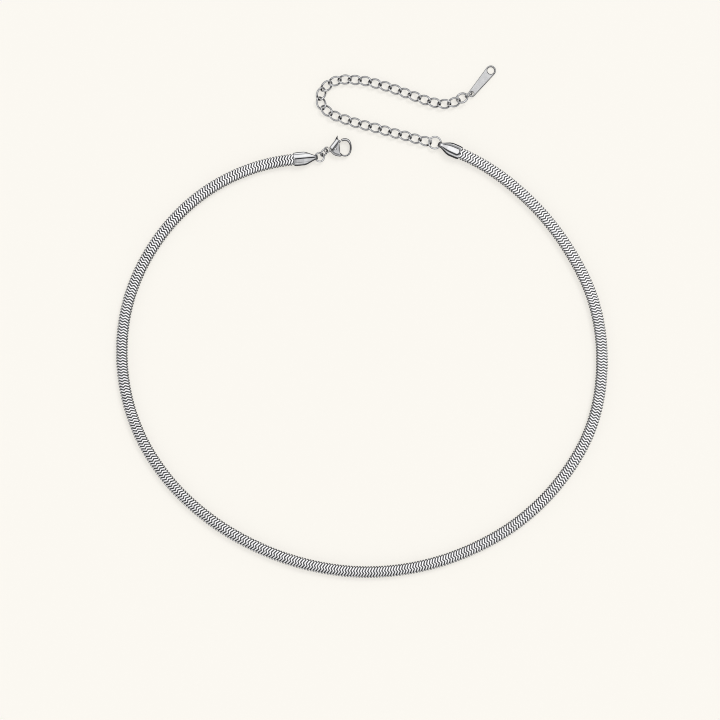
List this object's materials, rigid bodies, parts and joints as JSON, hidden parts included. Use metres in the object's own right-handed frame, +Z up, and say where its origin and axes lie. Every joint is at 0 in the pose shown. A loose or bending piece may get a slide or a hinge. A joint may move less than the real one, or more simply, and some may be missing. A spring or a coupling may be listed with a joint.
{
  "type": "flat snake chain necklace with lobster clasp and curb extender",
  "caption": "Flat snake chain necklace laid open, with folded end caps, a sprung lobster clasp, and a curb extender that ends in a flat tag.",
  "frame": {"origin": "on the surface it lies on, under the middle of the whole laid-out necklace", "axes": "+Z up from the surface, +Y from the front of the neck loop towards the clasp and extender, +X to the right as seen from above"},
  "size_m": [0.1406, 0.1467, 0.0026],
  "materials": {
    "chain_steel": "polished stainless steel plates",
    "cap_steel": "polished pressed steel sheet",
    "polished_steel": "polished stainless steel wire",
    "clasp_steel": "polished cast stainless steel",
    "tag_steel": "satin steel strip"
  },
  "bodies": {
    "necklace": {"snake_chain": "chain_steel", "end_cap_left": "cap_steel", "end_cap_right": "cap_steel", "jump_ring_a": "polished_steel", "jump_ring_b": "polished_steel", "jump_ring_c": "polished_steel", "clasp_body": "clasp_steel", "clasp_pin": "clasp_steel", "curb_link_01": "polished_steel", "curb_link_02": "polished_steel", "curb_link_03": "polished_steel", "curb_link_04": "polished_steel", "curb_link_05": "polished_steel", "curb_link_06": "polished_steel", "curb_link_07": "polished_steel", "curb_link_08": "polished_steel", "curb_link_09": "polished_steel", "curb_link_10": "polished_steel", "curb_link_11": "polished_steel", "curb_link_12": "polished_steel", "curb_link_13": "polished_steel", "curb_link_14": "polished_steel", "curb_link_15": "polished_steel", "curb_link_16": "polished_steel", "curb_link_17": "polished_steel", "curb_link_18": "polished_steel", "curb_link_19": "polished_steel", "curb_link_20": "polished_steel", "curb_link_21": "polished_steel", "curb_link_22": "polished_steel", "curb_link_23": "polished_steel", "curb_link_24": "polished_steel", "curb_link_25": "polished_steel", "curb_link_26": "polished_steel", "curb_link_27": "polished_steel", "end_ring": "polished_steel", "tag_ring": "polished_steel", "tag": "tag_steel"},
    "lever": {"clasp_lever": "clasp_steel"}
  },
  "joints": [
    {"name": "clasp_lever_pivot", "type": "hinge", "parent": "necklace", "child": "lever", "pos_m": [-0.00742, 0.04926, 0.001], "axis": [0, 0, -1], "range_deg": [0, 17], "stiffness_Nm_per_rad": 0.002}
  ]
}
